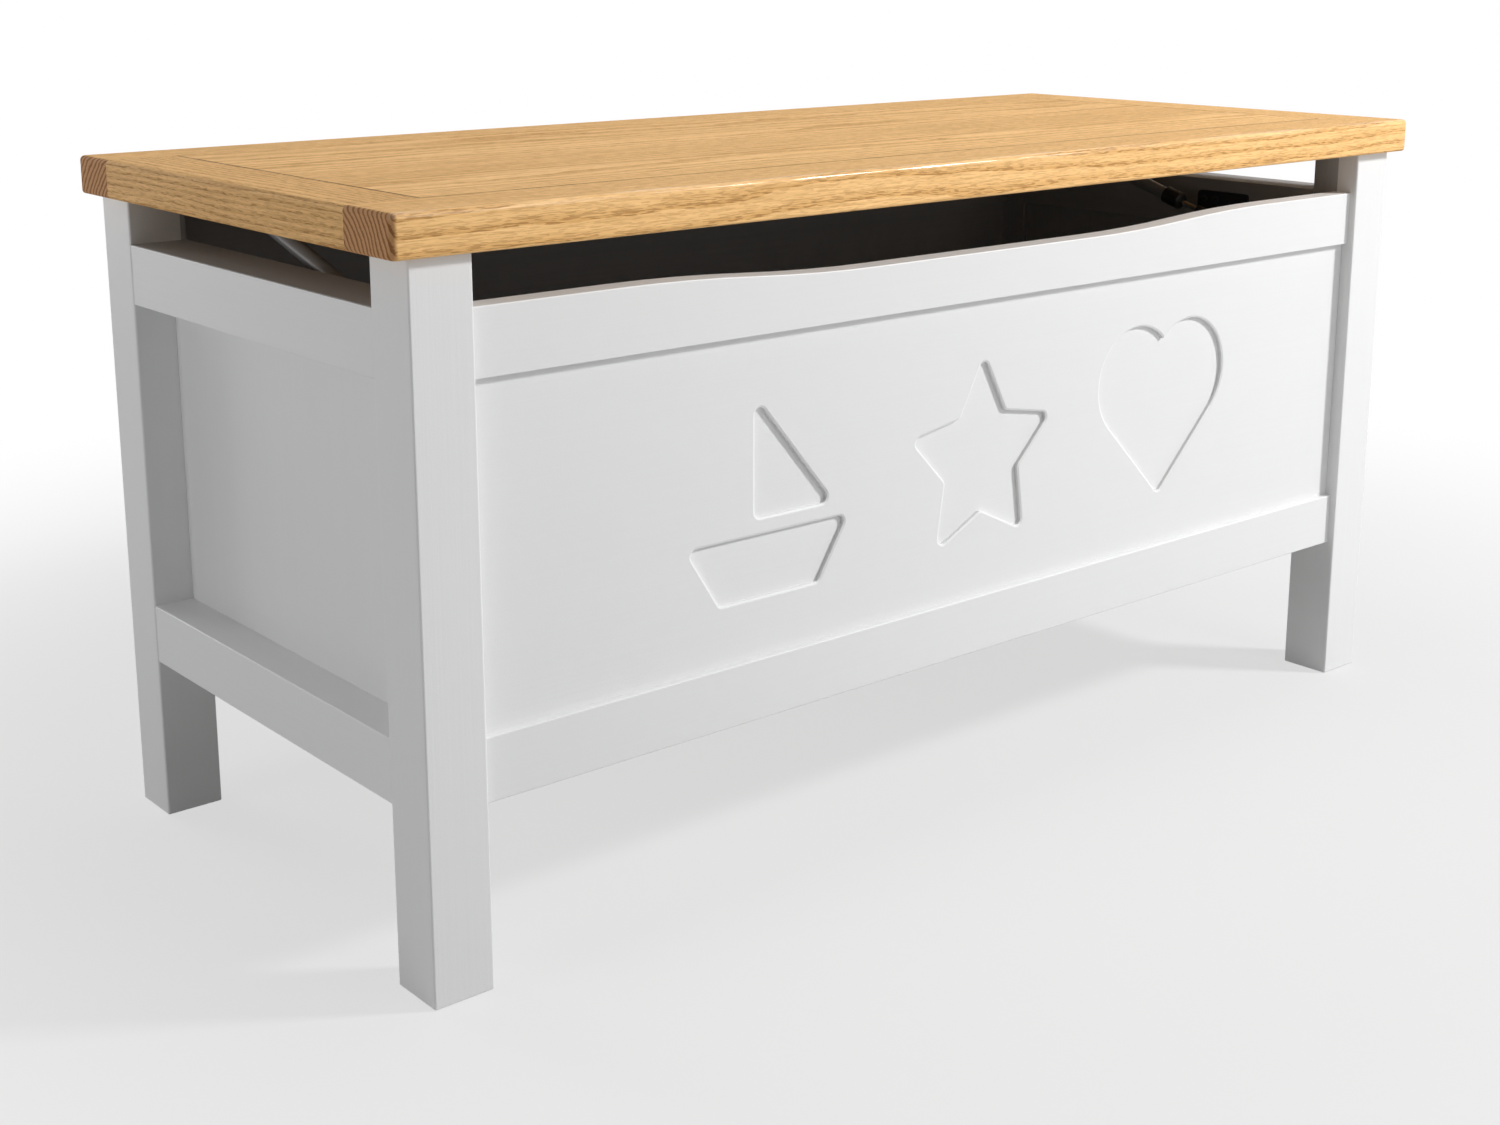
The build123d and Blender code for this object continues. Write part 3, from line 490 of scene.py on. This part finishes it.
def driven_screw():
    """A pan-head screw with a cross recess, its seat at the origin and its shank downwards."""
    bpy.ops.object.select_all(action="DESELECT")
    bpy.ops.mesh.primitive_cylinder_add(
        vertices=32, radius=SCREW_HEAD, depth=SCREW_HEAD_HEIGHT, location=(0, 0, SCREW_HEAD_HEIGHT / 2)
    )
    screw = bpy.context.active_object
    bpy.ops.object.transform_apply(location=True, rotation=True, scale=True)
    bpy.ops.object.mode_set(mode="EDIT")
    bpy.ops.mesh.select_mode(type="FACE")
    choose(screw, lambda centre, normal: normal.z > 0.9)
    bpy.ops.mesh.bevel(offset=SCREW_HEAD_HEIGHT * 0.62, segments=4, affect="EDGES")
    choose(screw, lambda centre, normal: normal.z < -0.9)
    bpy.ops.mesh.inset(thickness=SCREW_HEAD - SCREW_SHANK, depth=0.0)
    bpy.ops.mesh.extrude_region_move(TRANSFORM_OT_translate={"value": (0, 0, -SCREW_LENGTH * 0.75)})
    bpy.ops.mesh.extrude_region_move(TRANSFORM_OT_translate={"value": (0, 0, -SCREW_LENGTH * 0.25)})
    bpy.ops.transform.resize(value=(0.15, 0.15, 1.0))
    bpy.ops.object.mode_set(mode="OBJECT")
    for turn in (0.0, math.pi / 2):
        bpy.ops.object.select_all(action="DESELECT")
        top = (0, 0, SCREW_HEAD_HEIGHT)
        bpy.ops.mesh.primitive_cube_add(size=1.0, location=top, rotation=(0, 0, turn))
        slot = bpy.context.active_object
        slot.scale = (SCREW_HEAD * 1.25, SCREW_HEAD * 0.24, SCREW_HEAD_HEIGHT * 1.3)
        bpy.ops.object.transform_apply(location=True, rotation=True, scale=True)
        bpy.ops.object.mode_set(mode="EDIT")
        bpy.ops.mesh.select_mode(type="FACE")
        choose(slot, lambda centre, normal: normal.z < -0.9)
        bpy.ops.transform.resize(value=(0.62, 0.62, 1.0))
        bpy.ops.object.mode_set(mode="OBJECT")
        cut = screw.modifiers.new("recess", "BOOLEAN")
        cut.operation = "DIFFERENCE"
        cut.object = slot
        bpy.context.view_layer.objects.active = screw
        bpy.ops.object.modifier_apply(modifier=cut.name)
        bpy.data.objects.remove(slot, do_unlink=True)
    bpy.ops.object.select_all(action="DESELECT")
    screw.select_set(True)
    bpy.context.view_layer.objects.active = screw
    bpy.ops.object.shade_smooth_by_angle(angle=math.radians(35))
    return screw


def drive(pattern, name, seats, node, body, material):
    """Copies the screw to its seats, each facing outward, as one piece that replaces a node."""
    copies = []
    for order, (seat, outward) in enumerate(seats):
        copy = pattern.copy()
        copy.data = pattern.data.copy()
        bpy.context.collection.objects.link(copy)
        turn = Vector(outward).to_track_quat("Z", "Y").to_matrix().to_4x4()
        twist = Matrix.Rotation(0.35 + order * 0.83, 4, "Z")
        copy.data.transform(Matrix.Translation(seat) @ turn @ twist)
        copies.append(copy)
    bpy.ops.object.select_all(action="DESELECT")
    for copy in copies:
        copy.select_set(True)
    bpy.context.view_layer.objects.active = copies[0]
    bpy.ops.object.join()
    group = bpy.context.active_object
    group.name = name
    group.data.materials.clear()
    group.data.materials.append(material)
    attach(group, body)
    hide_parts(node)


pattern = driven_screw()
rail_seats = [((x, HINGE_SCREW_Y, HINGE_RAIL_SEAT), (0, 0, 1)) for x in HINGE_SCREW_ROWS]
lid_seats = [((x, HINGE_SCREW_Y, HINGE_LID_SEAT), (0, 0, -1)) for x in HINGE_SCREW_ROWS]
plate_seats = [((side * PLATE_SEAT, y, z), (-side, 0, 0)) for side in (-1, 1) for y, z in PLATE_SCREWS]
bracket_seats = [
    ((side * BRACKET_SCREW_X, y, BRACKET_SEAT), (0, 0, -1)) for side in (-1, 1) for y in BRACKET_SCREW_Y
]
for name, seats, node, body, material in (
    ("rail_leaf_screws", rail_seats, "hinge_rail_screws", "carcass", zinc),
    ("lid_leaf_screws", lid_seats, "hinge_lid_screws", "lid", zinc),
    ("side_plate_screws", plate_seats, "strut_side_screws", "carcass", black),
    ("lid_bracket_screws", bracket_seats, "strut_lid_screws", "lid", black),
):
    drive(pattern, name, seats, node, body, material)
bpy.data.objects.remove(pattern, do_unlink=True)


def pale_floor():
    """A wide floor that shows the object's shadow and fades to white."""
    bpy.ops.object.select_all(action="DESELECT")
    bpy.ops.mesh.primitive_circle_add(vertices=64, radius=FLOOR_RADIUS, fill_type="NGON")
    ground = bpy.context.active_object
    ground.name = "studio_floor"
    bpy.ops.object.mode_set(mode="EDIT")
    bpy.ops.mesh.select_all(action="SELECT")
    bpy.ops.transform.translate(value=(0, 0, -FLOOR_DROP))
    bpy.ops.object.mode_set(mode="OBJECT")
    white = Finish("studio_floor")
    distance = (white.x * white.x + white.y * white.y) ** 0.5
    faded = white.rise(distance, FLOOR_FADE_START, FLOOR_FADE_END)
    veil = white.seen_directly() * (FLOOR_VEIL + (1 - FLOOR_VEIL) * faded)
    matt = white.node("ShaderNodeBsdfDiffuse", {}, {"Color": FLOOR_GREY})
    glow = white.node("ShaderNodeEmission", {}, {"Color": PLAIN_WHITE, "Strength": 1.0})
    both = white.node("ShaderNodeMixShader", {}, {0: veil, 1: matt.outputs[0], 2: glow.outputs[0]})
    white.node("ShaderNodeOutputMaterial", {}, {0: both.outputs[0]})
    ground.data.materials.append(white.material)


def studio_world():
    """White behind the object, and a plain soft light all round it."""
    world = bpy.data.worlds.new("studio")
    bpy.context.scene.world = world
    sky = Wiring(world)
    soft = sky.node("ShaderNodeBackground", {}, {"Color": PLAIN_WHITE, "Strength": SKY_STRENGTH})
    white = sky.node("ShaderNodeBackground", {}, {"Color": PLAIN_WHITE, "Strength": 1.0})
    shown = sky.seen_directly()
    both = sky.node("ShaderNodeMixShader", {}, {0: shown, 1: soft.outputs[0], 2: white.outputs[0]})
    sky.node("ShaderNodeOutputWorld", {}, {0: both.outputs[0]})


def softbox(name, place, aim, size, power):
    """A square lamp that faces a point."""
    lamp = bpy.data.lights.new(name, "AREA")
    lamp.size = size
    lamp.energy = power
    holder = bpy.data.objects.new(name, lamp)
    bpy.context.collection.objects.link(holder)
    holder.location = place
    holder.rotation_euler = (Vector(aim) - Vector(place)).to_track_quat("-Z", "Y").to_euler()


pale_floor()
studio_world()
softbox("key_right", (2.08, -1.95, 2.03), (0.1, -0.1, 0.30), 0.4, 88.0)
softbox("fill_left", (-2.60, 0.15, 0.62), (-0.4, 0.0, 0.40), 0.9, 8.5)
softbox("overhead", (0.25, 0.35, 2.70), (0.1, 0.1, 0.5), 1.4, 9.0)
softbox("front_glow", (0.35, -1.90, 1.00), (0.15, -0.2, 0.30), 1.0, 6.0)
softbox("rear_soft", (-0.95, 2.70, 0.90), (0.0, 0.2, 0.30), 1.1, 24.0)

lens = bpy.data.cameras.new("photo_camera")
lens.sensor_width = 36.0
lens.lens = CAMERA_LENS
lens.shift_y = CAMERA_RISE
eye = bpy.data.objects.new("photo_camera", lens)
bpy.context.collection.objects.link(eye)
eye.location = CAMERA_PLACE
eye.rotation_euler = (math.radians(90.0 + CAMERA_PITCH), 0.0, math.radians(-CAMERA_YAW))
bpy.context.scene.camera = eye
bpy.context.scene.view_settings.view_transform = "Standard"
